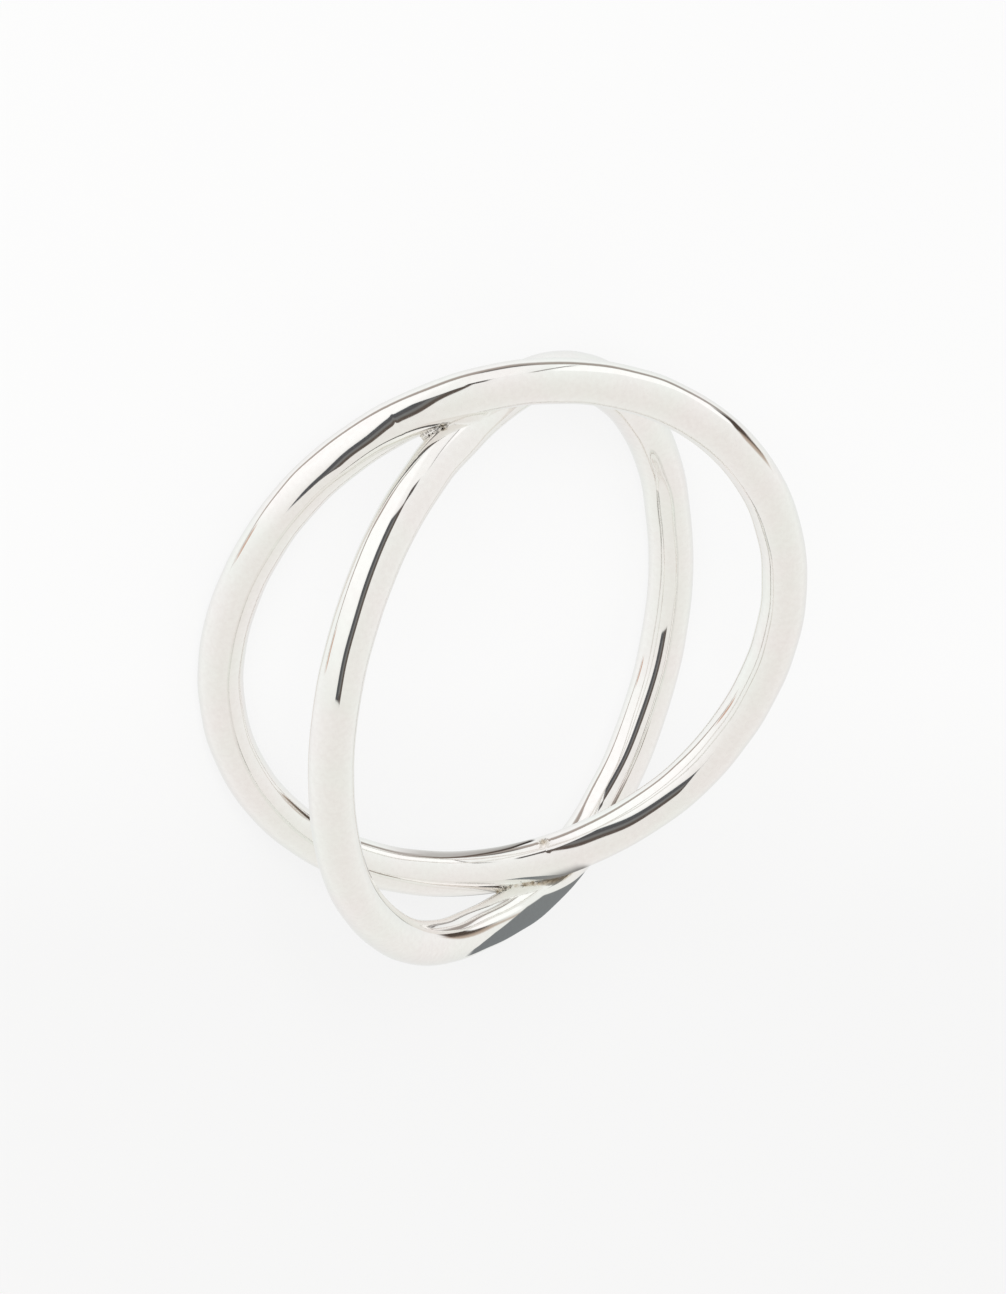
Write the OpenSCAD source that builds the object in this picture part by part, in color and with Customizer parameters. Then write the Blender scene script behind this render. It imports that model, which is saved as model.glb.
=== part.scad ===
// Crossover ring: two round-wire loops of one size, crossed and soldered where they meet.
// It lies on its side, as it rests by itself: the finger goes through along Z, and the two
// crossings are at +Y and -Y. The origin is on the resting plane, under the ring's middle.
// All sizes are in millimetres.

/* [Wire] */
// Diameter of the round wire
wire_d = 1.5; // [1.2:0.05:2]

/* [Loops] */
// Diameter of each loop, to the middle of its wire
loop_d = 19.3; // [17:0.1:23]
// Angle at which each loop leans from the ring's middle plane
loop_lean = 19.1; // [15:0.1:24]
// How deep the two wires sink into each other at each crossing
crossing_sink = 0.25; // [0.15:0.05:0.4]
// How far the loops' middles lie apart sideways, from hand fitting
side_shift = 0.2; // [0:0.05:0.4]

/* [Solder] */
// Length of the solder in the narrow angles of a crossing
solder_length = 3.4; // [2.6:0.1:3.8]
// Thickness of the solder at the middle of a crossing
solder_d = 1.1; // [0.95:0.05:1.2]
// Radius of the curve that the solder's side follows along its length
solder_bow_r = 4.6; // [4:0.1:8]

/* [Hidden] */

wire_r = wire_d / 2;
loop_r = loop_d / 2;
solder_r = solder_d / 2;
// One loop passes over the other at one crossing and under it at the opposite one,
// so their middles lie nearly one wire diameter apart along the line of the crossings.
crossing_shift = wire_d - crossing_sink;
// The ring rests on the lowest point of each loop.
middle_z = loop_r * sin(loop_lean) + wire_r;
// Smoothness of the loops and of the wire
loop_facets = 180;
wire_facets = 48;

// One closed loop of round wire. Its end at +X is high for a positive side, low for a negative one.
module wire_loop(side) {
    translate([side * side_shift / 2, side * crossing_shift / 2, 0])
        rotate([0, -side * loop_lean, 0])
            rotate_extrude($fn = loop_facets)
                translate([loop_r, 0])
                    circle(r = wire_r, $fn = wire_facets);
}

// Solder that fills the narrow angles between the two wires at one crossing:
// a short bar along X, thickest in its middle, between the wires' two centrelines.
module solder_fill(side) {
    translate([0, side * loop_r, 0])
        rotate([0, 90, 0])
            rotate_extrude($fn = loop_facets)
                intersection() {
                    translate([solder_r - solder_bow_r, 0])
                        circle(r = solder_bow_r, $fn = loop_facets);
                    translate([0, -solder_length / 2])
                        square([solder_r, solder_length]);
                }
}

// The whole ring: soldered metal is one solid.
module crossover_band() {
    color([0.88, 0.87, 0.85])
        translate([0, 0, middle_z]) {
            for (side = [-1, 1]) wire_loop(side);
            for (side = [-1, 1]) solder_fill(side);
        }
}

crossover_band();
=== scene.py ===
"""A crossover ring of polished silver wire, lying on its side on a light table in a tent of white cloth."""

from math import atan2, cos, hypot, pi, radians, sin

import bpy
import numpy as np
from mathutils import Matrix, Vector


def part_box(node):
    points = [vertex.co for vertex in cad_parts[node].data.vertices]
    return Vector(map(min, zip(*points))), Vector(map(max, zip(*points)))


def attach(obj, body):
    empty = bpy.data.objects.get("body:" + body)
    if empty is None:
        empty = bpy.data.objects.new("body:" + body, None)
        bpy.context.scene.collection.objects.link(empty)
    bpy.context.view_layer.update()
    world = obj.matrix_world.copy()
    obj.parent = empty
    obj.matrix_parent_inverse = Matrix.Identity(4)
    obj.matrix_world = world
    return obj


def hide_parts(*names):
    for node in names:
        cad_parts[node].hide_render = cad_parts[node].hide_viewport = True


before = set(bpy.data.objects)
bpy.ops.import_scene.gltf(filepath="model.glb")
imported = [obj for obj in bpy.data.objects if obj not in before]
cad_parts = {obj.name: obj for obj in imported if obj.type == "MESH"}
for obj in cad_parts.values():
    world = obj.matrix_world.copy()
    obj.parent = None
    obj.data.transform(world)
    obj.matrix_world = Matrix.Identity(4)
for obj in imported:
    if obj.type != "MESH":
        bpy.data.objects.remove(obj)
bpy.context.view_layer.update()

# The ring's driving sizes, in millimetres. A loop's side is +1 or -1: the +1 loop is high at +X and
# lies to +Y, the -1 loop is high at -X and lies to -Y. A crossing's end is -1 or +1, for -Y or +Y.
MM = 0.001
WIRE_R = 0.75
LOOP_R = 9.65
LOOP_LEAN = radians(19.1)
CROSSING_SHIFT = 1.25
SIDE_SHIFT = 0.2
SIDES = (1, -1)
ENDS = (-1, 1)
low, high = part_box("crossover_band")
MIDDLE_Z = (low.z + high.z) / 2 / MM

# The camera: the photograph's direction and roll to the ring, and its long lens
PHOTO_WIDTH, PHOTO_HEIGHT = 1006, 1294
LENS_PIXELS = 12400
SENSOR = 36
VIEW_AZIMUTH = radians(34.15)
VIEW_ELEVATION = radians(43.35)
VIEW_ROLL = radians(126.2)
VIEW_DISTANCE = 0.406
# How far the lens is held aside, to its right and up, in millimetres
VIEW_ASIDE = (-0.036, -0.01)

view_turn = (
    Matrix.Rotation(VIEW_AZIMUTH, 3, "Z")
    @ Matrix.Rotation(pi / 2 - VIEW_ELEVATION, 3, "X")
    @ Matrix.Rotation(VIEW_ROLL, 3, "Z")
)
VIEW_RIGHT, VIEW_UP, TO_LENS = view_turn.col[0], view_turn.col[1], view_turn.col[2]
RING_MIDDLE = Vector((0, 0, MIDDLE_Z * MM))


def add_camera():
    aside = MM * (VIEW_ASIDE[0] * VIEW_RIGHT + VIEW_ASIDE[1] * VIEW_UP)
    bpy.ops.object.camera_add(
        location=RING_MIDDLE + VIEW_DISTANCE * TO_LENS + aside, rotation=view_turn.to_euler())
    camera = bpy.context.object
    camera.name = "camera"
    camera.data.sensor_width = SENSOR
    camera.data.lens = SENSOR * LENS_PIXELS / max(PHOTO_WIDTH, PHOTO_HEIGHT)
    camera.data.clip_start = 0.01
    camera.data.dof.use_dof = False
    bpy.context.scene.camera = camera


add_camera()


# Helpers for colours, nodes and modelling

def linear(hex_colour):
    """An sRGB hex colour as linear light."""
    values = [int(hex_colour[i:i + 2], 16) / 255 for i in (1, 3, 5)]
    return [v / 12.92 if v <= 0.04045 else ((v + 0.055) / 1.055) ** 2.4 for v in values] + [1.0]


def add_node(tree, kind, settings=None, links=None, **values):
    """One node: its settings, what its inputs take from other nodes, and its other inputs' values.

    An input's value is given by its name, with _ for a space, or by i and its number.
    """
    node = tree.nodes.new(kind)
    for name, value in (settings or {}).items():
        setattr(node, name, value)
    for name, value in values.items():
        key = int(name[1:]) if name[0] == "i" and name[1:].isdigit() else name.replace("_", " ")
        node.inputs[key].default_value = value
    for name, source in (links or {}).items():
        tree.links.new(source, node.inputs[name])
    return node


def new_material(name):
    material = bpy.data.materials.new(name)
    material.use_nodes = True
    material.node_tree.nodes.clear()
    return material


def mesh_points(piece):
    points = np.empty(len(piece.data.vertices) * 3)
    piece.data.vertices.foreach_get("co", points)
    return points.reshape(-1, 3)


def set_mesh_points(piece, points):
    piece.data.vertices.foreach_set("co", points.ravel())
    piece.data.update()


# Every unevenness is the sum of this many waves.
RIPPLE_WAVES = 24


def ripples(points, spacing, seed):
    """An even random unevenness: waves of one spacing that run in all directions."""
    random = np.random.default_rng(seed)
    ways = random.normal(size=(RIPPLE_WAVES, points.shape[1]))
    ways /= np.linalg.norm(ways, axis=1)[:, None]
    starts = random.uniform(0, 2 * pi, RIPPLE_WAVES)
    waves = np.cos(points @ ways.T * 2 * pi / spacing + starts)
    return waves.sum(1) / np.sqrt(RIPPLE_WAVES / 2)


# The form of the ring, in millimetres from its middle, as distances from the metal's surface

# Loops bent by hand aren't quite round, and the +1 loop was pressed against the other one at the crossings
# before soldering. Side, angle round the loop, how far outwards, and over what angle.
BENDS = (
    (1, radians(-116), 0.17, 0.4),
    (1, radians(-91), -0.08, 0.2),
    (1, radians(-40), -0.06, 0.38),
    (1, radians(12), 0.09, 0.22),
    (1, radians(71), -0.32, 0.33),
    (1, radians(98), -0.09, 0.15),
    (1, radians(177), -0.06, 0.15),
    (-1, radians(-33), -0.05, 0.25),
    (-1, radians(122), 0.055, 0.2),
)
# Drawn wire that was bent and buffed by hand is never quite even: long waves of this height.
WAVE_HEIGHT = 0.0055
WAVE_SPACING = 1.7
WAVE_SEEDS = {1: 3, -1: 1}
# The -1 loop's closing joint and a filed place, both dressed nearly flush: angle round the loop, width and
# depth, and over how many widths the step runs out
DRESSED_JOINTS = (radians(-75.5), radians(91))
JOINT_WIDTH = 0.06
JOINT_DEPTH = 0.002
JOINT_RUNOUT = 9

# Solder: a spindle along X in the crease of each crossing, how softly it flows onto the wires, and a
# distance from the crossing that it never passes
SOLDER_HALF = {-1: np.array([0.95, 0.52, 0.52]), 1: np.array([1.66, 0.58, 0.58])}
SOLDER_FLOW = 0.06
SOLDER_REACH = 2.4
# Crumbs and specks that were not quite buffed away: their height and size. The +Y seam is the rougher one.
GRAIN_HEIGHT = 0.011
GRAIN_SPACING = 0.16
GRAIN_SEED = 9
SEAM_ROUGHNESS = {-1: 0.05, 1: 1.0}
# Rough spots on the wires: side, angle round the loop, angle around the wire, radius and height. Their
# height varies by this share, and they end where less than a thousandth of it is left.
ROUGH_SPOTS = (
    (-1, radians(91), radians(175), 0.15, 0.03),
    (1, radians(-84.5), radians(-8), 0.1, -0.03),
)
SPOT_VARIES = 0.5
SPOT_SEED = 5
SPOT_END = 0.001


def loop_middle(side):
    return Vector((side * SIDE_SHIFT / 2, side * CROSSING_SHIFT / 2, 0))


def loop_turn(side):
    return Matrix.Rotation(-side * LOOP_LEAN, 3, "Y")


def bent(side, angle):
    """How far the wire's middle stands out from its circle at an angle round the loop."""
    return sum(
        by * np.exp(-((np.angle(np.exp(1j * (angle - at))) / width) ** 2))
        for bent_side, at, by, width in BENDS if bent_side == side
    )


def dressed_joint(angle, joint):
    """The shallow step and groove that a filed joint leaves across the wire."""
    off = LOOP_R * np.angle(np.exp(1j * (angle - joint))) / JOINT_WIDTH
    step = np.tanh(off) * np.exp(-((off / JOINT_RUNOUT) ** 2))
    return JOINT_DEPTH * (step - np.exp(-(off**2)))


def wire_point(side, angle, around):
    """A point on a loop's surface, and the outward direction there."""
    outward = Vector((cos(around) * cos(angle), cos(around) * sin(angle), sin(around)))
    reach = float(LOOP_R + bent(side, angle))
    flat = reach * Vector((cos(angle), sin(angle), 0)) + WIRE_R * outward
    return loop_middle(side) + loop_turn(side) @ flat, loop_turn(side) @ outward


def spot_share(points, side, angle, around, radius):
    """How much a rough spot reaches a point, 0 to 1."""
    middle = np.array(wire_point(side, angle, around)[0])
    return np.exp(-(np.linalg.norm(points - middle, axis=1) / radius) ** 2)


def wire_distance(side, points):
    """From points to the surface of one loop's wire."""
    flat = (points - np.array(loop_middle(side))) @ np.array(loop_turn(side))
    angle = np.arctan2(flat[:, 1], flat[:, 0])
    reach = np.hypot(flat[:, 0], flat[:, 1]) - LOOP_R - bent(side, angle)
    thickness = WIRE_R + WAVE_HEIGHT * ripples(flat, WAVE_SPACING, WAVE_SEEDS[side])
    if side == -1:
        for joint in DRESSED_JOINTS:
            thickness = thickness + dressed_joint(angle, joint)
    for spot_side, at, around, radius, height in ROUGH_SPOTS:
        if spot_side == side:
            share = spot_share(points, side, at, around, radius)
            near = share > SPOT_END
            crumbs = 1 + SPOT_VARIES * ripples(points[near], GRAIN_SPACING, SPOT_SEED)
            thickness[near] += height * crumbs * share[near]
    return np.hypot(reach, flat[:, 2]) - thickness


def crossing_middle(end):
    """Between the two wires' middles at one crossing."""
    reach = LOOP_R + sum(bent(side, end * pi / 2) for side in SIDES) / 2
    return np.array((0, end * reach, 0))


def solder_distance(end, points):
    """Near enough the distance to the solder's spindle."""
    off = points - crossing_middle(end)
    half = SOLDER_HALF[end]
    scaled = np.linalg.norm(off / half, axis=1)
    return scaled * (scaled - 1) / np.linalg.norm(off / half**2, axis=1)


def flow_together(first, second, flow):
    """Two distances joined with a hollow fillet."""
    share = np.clip(1 - np.abs(first - second) / flow, 0, 1)
    return np.minimum(first, second) - share**2 * flow / 4


def solder_share(points):
    """How much of a place on the surface is solder, 0 to 1."""
    wires = [wire_distance(side, points) for side in SIDES]
    near = np.minimum(solder_distance(1, points), solder_distance(-1, points))
    both = np.maximum(wires[0], wires[1])
    share = np.clip(1 - np.minimum(near, both) / SOLDER_FLOW, 0, 1)
    share *= np.where(points[:, 1] < 0, SEAM_ROUGHNESS[-1], SEAM_ROUGHNESS[1])
    for side, at, around, radius, _ in ROUGH_SPOTS:
        share = np.maximum(share, spot_share(points, side, at, around, radius))
    return share


def ring_distance(points):
    """From points to the surface of the whole ring, with its solder's grain."""
    distance = flow_together(wire_distance(1, points), wire_distance(-1, points), SOLDER_FLOW)
    for end in ENDS:
        close = np.linalg.norm(points - crossing_middle(end), axis=1) < SOLDER_REACH
        solder = solder_distance(end, points[close])
        joined = flow_together(distance[close], solder, SOLDER_FLOW)
        grain = GRAIN_HEIGHT * ripples(points[close], GRAIN_SPACING, GRAIN_SEED)
        distance[close] = joined - grain * solder_share(points[close])
    return distance


SLOPE_STEP = 0.004
# In a sharp crease the slope nearly vanishes, so it counts as at least this much.
LEAST_SLOPE = 0.3
SETTLE_ROUNDS = 4


def ring_slope(points):
    """The outward direction at points, from differences over a short step."""
    return np.stack([
        (ring_distance(points + step) - ring_distance(points - step)) / (2 * SLOPE_STEP)
        for step in SLOPE_STEP * np.eye(3)
    ], 1)


def settle(piece):
    """Moves every point of a rough mesh onto the ring's surface."""
    points = mesh_points(piece)
    for _ in range(SETTLE_ROUNDS):
        slope = ring_slope(points)
        size = np.maximum((slope**2).sum(1), LEAST_SLOPE)
        points -= (ring_distance(points) / size)[:, None] * slope
    set_mesh_points(piece, points)


# Modelling, in millimetres until the last scaling, because the remesh can't be finer than a tenth of a unit

CELL = 0.1
# Half the size of the space round each crossing where the cells are halved
FINE_HALF = (1.9, 0.95, 1.0)


def add_loop(side):
    bpy.ops.mesh.primitive_torus_add(
        major_segments=240, minor_segments=40, major_radius=LOOP_R, minor_radius=WIRE_R,
        location=loop_middle(side), rotation=loop_turn(side).to_euler(),
    )
    return bpy.context.object


def add_solder(end):
    bpy.ops.mesh.primitive_uv_sphere_add(
        segments=48, ring_count=32, radius=1, location=crossing_middle(end), scale=SOLDER_HALF[end],
    )
    return bpy.context.object


def remesh_even(piece):
    """One closed skin of even cells over all the joined parts."""
    modifier = piece.modifiers.new("skin", "REMESH")
    modifier.mode = "VOXEL"
    modifier.voxel_size = CELL
    bpy.ops.object.modifier_apply(modifier=modifier.name)


def refine_crossings(piece):
    """Halves the cells at the two crossings, where the solder has fine detail."""
    points = mesh_points(piece)
    close = np.zeros(len(points), bool)
    for end in ENDS:
        off = (points - crossing_middle(end)) / FINE_HALF
        close |= np.linalg.norm(off, axis=1) < 1
    bpy.ops.object.mode_set(mode="EDIT")
    bpy.ops.mesh.select_all(action="DESELECT")
    bpy.ops.mesh.select_mode(type="VERT")
    bpy.ops.object.mode_set(mode="OBJECT")
    piece.data.vertices.foreach_set("select", close)
    bpy.ops.object.mode_set(mode="EDIT")
    bpy.ops.mesh.subdivide(number_cuts=1)
    bpy.ops.object.mode_set(mode="OBJECT")


def add_band():
    parts = [add_loop(side) for side in SIDES] + [add_solder(end) for end in ENDS]
    band = parts[0]
    bpy.ops.object.select_all(action="DESELECT")
    for part in parts:
        part.select_set(True)
    bpy.context.view_layer.objects.active = band
    bpy.ops.object.join()
    bpy.ops.object.transform_apply(location=True, rotation=True, scale=True)
    remesh_even(band)
    settle(band)
    refine_crossings(band)
    settle(band)
    points = mesh_points(band)
    outwards = ring_slope(points)
    outwards /= np.linalg.norm(outwards, axis=1)[:, None]
    solder = band.data.attributes.new("solder", "FLOAT", "POINT")
    solder.data.foreach_set("value", solder_share(points))
    bpy.ops.object.shade_smooth()
    band.name = "crossover_band_wire"
    band.location = (0, 0, MIDDLE_Z * MM)
    band.scale = (MM, MM, MM)
    bpy.ops.object.transform_apply(location=True, rotation=True, scale=True)
    band.data.normals_split_custom_set_from_vertices(outwards)
    return band


band = add_band()


# Finishes

# Sizes in millimetres: the faint cloudiness that buffing leaves, which is finer on the real metal and is
# drawn as coarse as it needs to show, the slow changes of tint along the plate, and the solder's grain
CLOUD_SIZE = 0.17
TINT_SIZE = 2.2
SOLDER_GRAIN_SIZE = 0.09
SOLDER_GRAIN_DEPTH = 0.02
# The silver where it is clear and where it is cloudy, each at its warmest and its coolest, and the solder's
# dark and pale grains
CLEAR_SILVER = ("#F8F5F3", "#F6F7F3")
CLOUDY_SILVER = ("#F4F0EE", "#F3F3EF")
SOLDER_GRAINS = ("#6E5C4B", "#F4E6CB")
CLEAR_ROUGHNESS = 0.04
CLOUDY_ROUGHNESS = 0.08
SOLDER_ROUGHNESS = 0.38


def polished_silver():
    """Sterling silver wire, drawn round, buffed to a mirror and plated with rhodium against tarnish.

    The plate gives a bright, nearly neutral mirror, a trace warmer or cooler from place to place and never
    quite clear. The solder at the crossings is duller, yellower and grainy.
    """
    material = new_material("rhodium_plated_sterling_silver")
    tree = material.node_tree
    place = add_node(tree, "ShaderNodeTexCoord").outputs["Object"]
    solder = add_node(tree, "ShaderNodeAttribute", {"attribute_name": "solder"}).outputs["Fac"]
    mottle, patches, grain = (
        add_node(
            tree, "ShaderNodeTexNoise", {}, {"Vector": place}, Scale=1 / (size * MM), Detail=detail,
        ).outputs["Fac"]
        for size, detail in ((CLOUD_SIZE, 2.0), (TINT_SIZE, 1.0), (SOLDER_GRAIN_SIZE, 3.0))
    )
    cloud = add_node(
        tree, "ShaderNodeMapRange", {}, {"Value": mottle}, From_Min=0.3, From_Max=0.7).outputs[0]
    tint = add_node(
        tree, "ShaderNodeMapRange", {}, {"Value": patches}, From_Min=0.35, From_Max=0.65).outputs[0]
    bright, dim = (
        add_node(
            tree, "ShaderNodeMix", {"data_type": "RGBA"}, {"Factor": tint},
            i6=linear(warm), i7=linear(cool),
        ).outputs[2]
        for warm, cool in (CLEAR_SILVER, CLOUDY_SILVER)
    )
    silver = add_node(
        tree, "ShaderNodeMix", {"data_type": "RGBA"}, {"Factor": cloud, "A": dim, "B": bright},
    ).outputs[2]
    joint = add_node(
        tree, "ShaderNodeMix", {"data_type": "RGBA"}, {"Factor": grain},
        i6=linear(SOLDER_GRAINS[0]), i7=linear(SOLDER_GRAINS[1]),
    ).outputs[2]
    colour = add_node(
        tree, "ShaderNodeMix", {"data_type": "RGBA"}, {"Factor": solder, "A": silver, "B": joint},
    ).outputs[2]
    buffed = add_node(
        tree, "ShaderNodeMapRange", {}, {"Value": cloud}, To_Min=CLEAR_ROUGHNESS, To_Max=CLOUDY_ROUGHNESS)
    rough = add_node(
        tree, "ShaderNodeMapRange", {}, {"Value": solder, "To Min": buffed.outputs[0]},
        To_Max=SOLDER_ROUGHNESS,
    )
    bump = add_node(
        tree, "ShaderNodeBump", {}, {"Height": grain, "Strength": solder}, Distance=SOLDER_GRAIN_DEPTH * MM)
    shader = add_node(
        tree, "ShaderNodeBsdfPrincipled", {},
        {"Base Color": colour, "Normal": bump.outputs[0], "Roughness": rough.outputs[0]}, Metallic=1.0,
    )
    add_node(tree, "ShaderNodeOutputMaterial", {}, {"Surface": shader.outputs[0]})
    return material


band.data.materials.clear()
band.data.materials.append(polished_silver())
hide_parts("crossover_band")
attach(band, "root")


# The studio: a light table, a tent of white cloth round it, and what hangs in the tent

TABLE_SIZE = 3.0
# The table's glow is painted light, standing in for a lamp beneath it. Its strength on the lens side and on
# the far side, and between which distances beyond the ring's middle it rises, in millimetres
GLOW_NEAR, GLOW_FAR = 0.78, 0.821
GLOW_RISES = (-12.5, -3)
# What the sheet itself throws back of the light on it
SHEET_COLOUR = "#606060"


def painted_glow_acrylic():
    """White translucent sheet with a painted glow, as if lit from below: almost shadowless, a little
    brighter on its far side.
    """
    material = new_material("painted_glow_acrylic")
    tree = material.node_tree
    place = add_node(tree, "ShaderNodeTexCoord").outputs["Object"]
    along = add_node(
        tree, "ShaderNodeVectorMath", {"operation": "DOT_PRODUCT"}, {0: place},
        i1=Vector((VIEW_UP.x, VIEW_UP.y, 0)).normalized(),
    )
    glow = add_node(
        tree, "ShaderNodeMapRange", {}, {"Value": along.outputs["Value"]},
        From_Min=MM * GLOW_RISES[0], From_Max=MM * GLOW_RISES[1], To_Min=GLOW_NEAR, To_Max=GLOW_FAR,
    )
    # Painted light: the sheet's glow, in place of a lamp beneath it, brighter on the far side.
    lit = add_node(tree, "ShaderNodeEmission", {}, {"Strength": glow.outputs[0]}, Color=linear("#FFFFFF"))
    diffuse = add_node(tree, "ShaderNodeBsdfDiffuse", Color=linear(SHEET_COLOUR))
    both = add_node(tree, "ShaderNodeAddShader", {}, {0: diffuse.outputs[0], 1: lit.outputs[0]})
    add_node(tree, "ShaderNodeOutputMaterial", {}, {"Surface": both.outputs[0]})
    return material


def add_floor():
    bpy.ops.mesh.primitive_plane_add(size=TABLE_SIZE, location=(0, 0, 0))
    floor = bpy.context.object
    floor.name = "floor"
    floor.data.materials.append(painted_glow_acrylic())
    # The metal mirrors the tent's lower half too, as it does where a ring is held up clear of a table.
    floor.visible_glossy = False


def tent_point(right_deg, up_deg, distance):
    """A place in the tent, by its angles to the right of the lens and above it as seen from the ring."""
    away = radians(hypot(right_deg, up_deg))
    round_lens = atan2(up_deg, right_deg)
    sideways = cos(round_lens) * VIEW_RIGHT + sin(round_lens) * VIEW_UP
    return RING_MIDDLE + distance * (cos(away) * TO_LENS + sin(away) * sideways)


# All the tent is lit a little more strongly than white, because the metal takes some of the light away.
TENT_LIGHT = 1.056


def soft_sheet(kind, colours, fades, strength=1.0):
    """Cloth or card, glowing or dark, from one colour where its edges start to another where they stop.

    fades are the shares of its length and width over which it fades out: at the start and the stop, and at
    the lower or first edge and the upper or second one.
    """
    material = new_material(kind)
    tree = material.node_tree
    flat = add_node(tree, "ShaderNodeTexCoord").outputs["UV"]
    across = add_node(tree, "ShaderNodeSeparateXYZ", {}, {0: flat})
    start, stop, lower, upper = fades
    cover = None
    for axis, edge, fade in (("X", 0, start), ("X", 1, -stop), ("Y", 0, lower), ("Y", 1, -upper)):
        side = add_node(
            tree, "ShaderNodeMapRange", {"interpolation_type": "SMOOTHSTEP"},
            {"Value": across.outputs[axis]}, From_Min=edge, From_Max=edge + fade,
        ).outputs[0]
        cover = side if cover is None else add_node(
            tree, "ShaderNodeMath", {"operation": "MULTIPLY"}, {0: cover, 1: side}).outputs[0]
    colour = add_node(
        tree, "ShaderNodeMix", {"data_type": "RGBA"}, {"Factor": across.outputs["X"]},
        i6=linear(colours[0]), i7=linear(colours[1]),
    ).outputs[2]
    light = add_node(tree, "ShaderNodeEmission", {}, {"Color": colour}, Strength=strength * TENT_LIGHT)
    clear = add_node(tree, "ShaderNodeBsdfTransparent")
    mixed = add_node(tree, "ShaderNodeMixShader", {}, {0: cover, 1: clear.outputs[0], 2: light.outputs[0]})
    add_node(tree, "ShaderNodeOutputMaterial", {}, {"Surface": mixed.outputs[0]})
    return material


def front_only(material):
    """Makes a card's material clear as seen from its back."""
    tree = material.node_tree
    output = next(node for node in tree.nodes if node.type == "OUTPUT_MATERIAL")
    shown = output.inputs["Surface"].links[0].from_socket
    back = add_node(tree, "ShaderNodeNewGeometry").outputs["Backfacing"]
    clear = add_node(tree, "ShaderNodeBsdfTransparent").outputs[0]
    one_sided = add_node(tree, "ShaderNodeMixShader", {}, {0: back, 1: shown, 2: clear})
    tree.links.new(one_sided.outputs[0], output.inputs["Surface"])
    return material


def only_mirrored(piece):
    """Keeps a piece of the studio out of every view, and out of the light on the table."""
    piece.visible_camera = False
    piece.visible_diffuse = False
    piece.visible_shadow = False


def edge_place(edge, along):
    """How far right of the lens and above it a panel's edge is, at 0 to 1 along the edge."""
    marks = np.linspace(0, 1, len(edge))
    return [np.interp(along, marks, [corner[i] for corner in edge]) for i in (0, 1)]


def add_panel(name, lower, upper, distance, **cloth):
    """A cloth panel between a lower and an upper edge, in degrees right of the lens and above it."""
    bpy.ops.mesh.primitive_grid_add(x_subdivisions=48, y_subdivisions=16, size=2, location=(0, 0, 0))
    panel = bpy.context.object
    panel.name = name
    for vertex in panel.data.vertices:
        along, across = (vertex.co.x + 1) / 2, (vertex.co.y + 1) / 2
        edges = zip(edge_place(lower, along), edge_place(upper, along))
        right, up = [(1 - across) * start + across * stop for start, stop in edges]
        vertex.co = tent_point(right, up, distance)
    panel.data.materials.append(soft_sheet("diffusion_cloth", **cloth))
    only_mirrored(panel)


# The tent's own cloth: warm and dimmer low on the lens side, cool and brighter on the far side, left and
# above. Straight behind the ring, where its outlines mirror it, it is about as bright as the light table.
CLOTH_NEAR, CLOTH_FAR = "#EBE9E6", "#F9FBFB"
CLOTH_WAY = 0.86 * VIEW_UP - 0.5 * TO_LENS - 0.3 * VIEW_RIGHT
LIGHT_BEHIND = 0.93
# Between which cosines of the angle to the lens the cloth changes to its light behind the ring
BEHIND_STARTS = (-0.95, -0.5)


def add_tent():
    """White diffusion cloth all round, lit from outside."""
    world = bpy.data.worlds.new("tent")
    bpy.context.scene.world = world
    world.use_nodes = True
    tree = world.node_tree
    tree.nodes.clear()
    way = add_node(tree, "ShaderNodeTexCoord").outputs["Generated"]
    along, facing = (
        add_node(
            tree, "ShaderNodeVectorMath", {"operation": "DOT_PRODUCT"}, {0: way}, i1=to,
        ).outputs["Value"]
        for to in (CLOTH_WAY, TO_LENS)
    )
    share = add_node(tree, "ShaderNodeMapRange", {}, {"Value": along}, From_Min=-1.0, From_Max=1.0)
    colour = add_node(
        tree, "ShaderNodeMix", {"data_type": "RGBA"}, {"Factor": share.outputs[0]},
        i6=linear(CLOTH_NEAR), i7=linear(CLOTH_FAR),
    )
    strength = add_node(
        tree, "ShaderNodeMapRange", {}, {"Value": facing},
        From_Min=BEHIND_STARTS[0], From_Max=BEHIND_STARTS[1], To_Min=LIGHT_BEHIND, To_Max=TENT_LIGHT,
    )
    cloth = add_node(
        tree, "ShaderNodeBackground", {}, {"Color": colour.outputs[2], "Strength": strength.outputs[0]})
    add_node(tree, "ShaderNodeOutputWorld", {}, {"Surface": cloth.outputs[0]})


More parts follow.
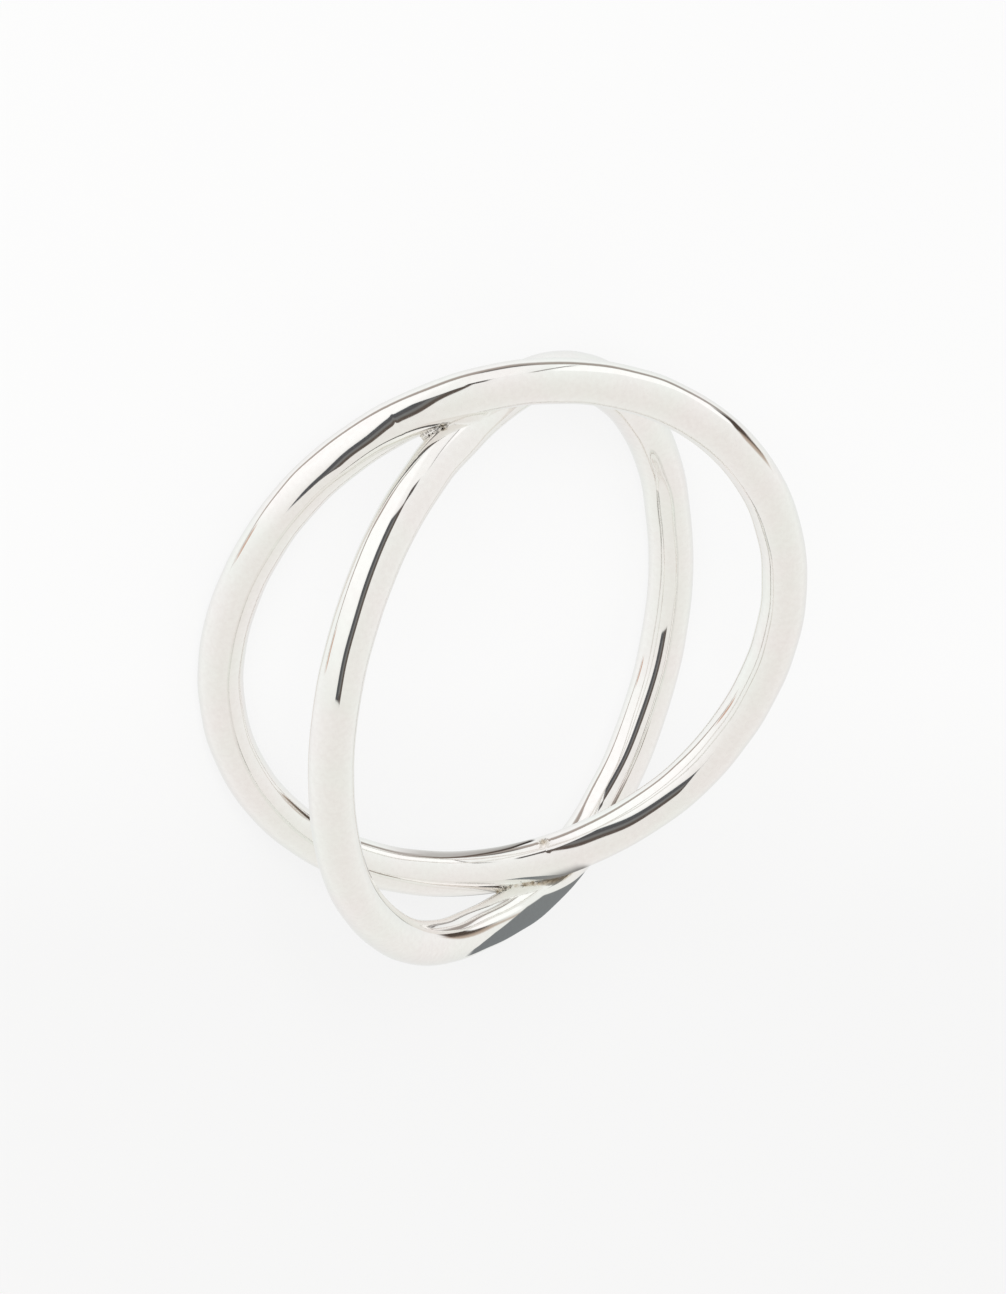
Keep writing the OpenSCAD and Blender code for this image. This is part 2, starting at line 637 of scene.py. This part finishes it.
# What hangs in the tent, as the wires mirror it: softboxes with their rims and clamps, and a narrow opening
# on the lens side with a paler middle. An edge is a list of degrees right of the lens and above it, and
# distances from the ring are in metres.
PANELS = (
    {
        "name": "left_softbox", "distance": 0.8, "colours": ("#FFFFFF", "#FFFFFF"), "strength": 1.04,
        "lower": [(-94, 14), (-78, -8), (-48, -30), (-15, -40)],
        "upper": [(-84, 62), (-62, 78), (-36, 84), (-4, 86)], "fades": (0.03, 0.16, 0.62, 0.04),
    },
    {
        "name": "top_softbox", "distance": 0.85, "colours": ("#F9F9F8", "#F9F9F8"),
        "lower": [(-20, 44), (24, 44)], "upper": [(-20, 88), (24, 88)], "fades": (0.2, 0.15, 0.1, 0.05),
    },
    {
        "name": "right_softbox", "distance": 0.8, "colours": ("#FFFFFF", "#FFFFFF"), "strength": 1.04,
        "lower": [(30, 50), (60, 52), (84, 50), (92, 30), (104, 26)],
        "upper": [(28, 88), (52, 88), (78, 78), (98, 62), (107, 46)], "fades": (0.06, 0.03, 0.12, 0.05),
    },
    {
        "name": "softbox_rim", "distance": 0.95, "colours": ("#B0A39B", "#9C9793"),
        "lower": [
            (-97, 4), (-94, 26), (-84, 60), (-62, 78), (-36, 84), (0, 90), (40, 90), (72, 84),
            (98, 66), (107, 46), (110, 28),
        ],
        "upper": [
            (-99, 4), (-99, 28), (-94, 72), (-70, 94), (-40, 106), (0, 118), (45, 114), (85, 100),
            (110, 76), (118, 50), (114, 28),
        ],
        "fades": (0.03, 0.02, 0.06, 0.5),
    },
    {
        "name": "rim_clamp", "distance": 0.92, "colours": ("#7C7774", "#7C7774"),
        "lower": [(-8, 88), (24, 89)], "upper": [(-8, 101), (24, 102)], "fades": (0.25, 0.4, 0.15, 0.5),
    },
    {
        "name": "slot_bar", "distance": 0.6, "colours": ("#55504E", "#55504E"),
        "lower": [(4, 37), (16, 38)], "upper": [(4, 46.5), (16, 47)], "fades": (0.05, 0.25, 0.2, 0.2),
    },
    {
        "name": "softbox_gap", "distance": 0.7, "colours": ("#8A8683", "#8A8683"),
        "lower": [(26, 44), (41, 87)], "upper": [(23, 45), (37, 88)], "fades": (0.2, 0.2, 0.35, 0.35),
    },
    {
        "name": "rim_corner", "distance": 0.75, "colours": ("#464240", "#56483E"),
        "lower": [(94, 66), (98, 44), (97, 19)], "upper": [(105, 73), (115, 52), (114, 19)],
        "fades": (0.25, 0.25, 0.15, 0.2),
    },
    {
        "name": "rim_end", "distance": 0.77, "colours": ("#A08C7C", "#C8BBB0"),
        "lower": [(98, 34), (96, 0)], "upper": [(120, 40), (112, 2)], "fades": (0.3, 0.4, 0.3, 0.3),
    },
    {
        "name": "amber_edge", "distance": 0.75, "colours": ("#C8A38F", "#C8A38F"),
        "lower": [(-85, 3), (-85, 25)], "upper": [(-94, 3), (-94, 25)], "fades": (0.3, 0.3, 0.3, 0.3),
    },
    {
        "name": "front_slot", "distance": 0.5, "colours": ("#52575C", "#5C5048"),
        "lower": [(-18.5, -26.5), (8, -33)], "upper": [(-15.5, 43), (9.5, 40.5)],
        "fades": (0.08, 0.08, 0.012, 0.03),
    },
    {
        "name": "slot_middle", "distance": 0.48, "colours": ("#74787C", "#74706A"),
        "lower": [(-9, -27), (1, -29)], "upper": [(-6, 42), (3.5, 40)], "fades": (0.35, 0.35, 0.05, 0.1),
    },
)

# Painted reflections: small glowing cards held close by the +Y crossing, which only the metal's mirror
# shows, so the wires mirror their grey patches and pale and dark lines along their edges. Each follows one
# loop's wire, at a gap in millimetres, from one angle round the loop to another. Around the wire it reaches
# from its first edge to its second one, each given for every angle, or once for all of them.
CARD_GAP = 0.35
CARDS = (
    {
        "name": "grey_card", "side": 1, "second": 50, "colours": ("#787B7E", "#818486"),
        "angles": (59, 61, 64, 68, 74, 80, 86, 91, 95, 98, 100),
        "first": (60, 74, 85, 97, 110, 120, 120, 100, 84, 72, 62), "fades": (0.06, 0.04, 0.05, 0.02),
    },
    {
        "name": "grey_card_wing", "side": -1, "second": 12, "colours": ("#A8A8A8", "#848280"),
        "angles": (63, 68, 74, 80, 84, 88, 92, 96, 99),
        "first": (36, 46, 56, 62, 78, 95, 96, 93, 72), "fades": (0.06, 0.06, 0.5, 0.02),
    },
    {
        "name": "pale_strip", "side": -1, "first": 223, "colours": ("#C8C6C4", "#A5A2A0"),
        "angles": (52, 68, 76, 84, 90),
        "second": (160, 165, 172, 179, 192), "fades": (0.4, 0.04, 0.8, 0.03),
    },
    {
        "name": "dark_line", "side": -1, "gap": 0.3, "colours": ("#8E7C70", "#322E2E"),
        "angles": (52, 68, 76, 84, 90), "first": (167, 172, 181, 191, 207),
        "second": (160, 165, 172, 179, 190), "fades": (0.5, 0.04, 0.5, 0.2),
    },
)


def add_card(name, side, angles, first, second, gap=CARD_GAP, **sheet):
    """A glowing card that only the wire mirrors, a painted reflection between two edges, seen from its
    front only.
    """
    bpy.ops.mesh.primitive_grid_add(x_subdivisions=60, y_subdivisions=16, size=2, location=(0, 0, 0))
    card = bpy.context.object
    card.name = name
    edges = [np.broadcast_to(edge, len(angles)) for edge in (first, second)]
    for vertex in card.data.vertices:
        along, across = (vertex.co.x + 1) / 2, (vertex.co.y + 1) / 2
        angle = angles[0] + along * (angles[-1] - angles[0])
        start, stop = (np.interp(angle, angles, edge) for edge in edges)
        around = start + across * (stop - start)
        place, outward = wire_point(side, radians(angle), radians(around))
        mirrored = -TO_LENS + 2 * max(TO_LENS.dot(outward), 0) * outward
        vertex.co = RING_MIDDLE + MM * (place + gap * mirrored)
    # Painted reflection: the card glows at set greys, and only the metal's mirror shows them.
    card.data.materials.append(front_only(soft_sheet("painted_reflection_card", **sheet)))
    only_mirrored(card)


# The lamp that lights the table from above, in metres and watts
LAMP_PLACE = (0.25, -0.5, 0.45)
LAMP_SIZE = 0.4
LAMP_POWER = 3.7


def add_lamp():
    bpy.ops.object.light_add(type="AREA", location=LAMP_PLACE)
    lamp = bpy.context.object
    lamp.name = "overhead_softbox"
    lamp.rotation_euler = (-lamp.location).to_track_quat("-Z", "Y").to_euler()
    lamp.data.shape = "SQUARE"
    lamp.data.size = LAMP_SIZE
    lamp.data.energy = LAMP_POWER
    lamp.visible_glossy = False


add_floor()
add_tent()
for panel in PANELS:
    add_panel(**panel)
for card in CARDS:
    add_card(**card)
add_lamp()
bpy.context.scene.view_settings.view_transform = "Standard"
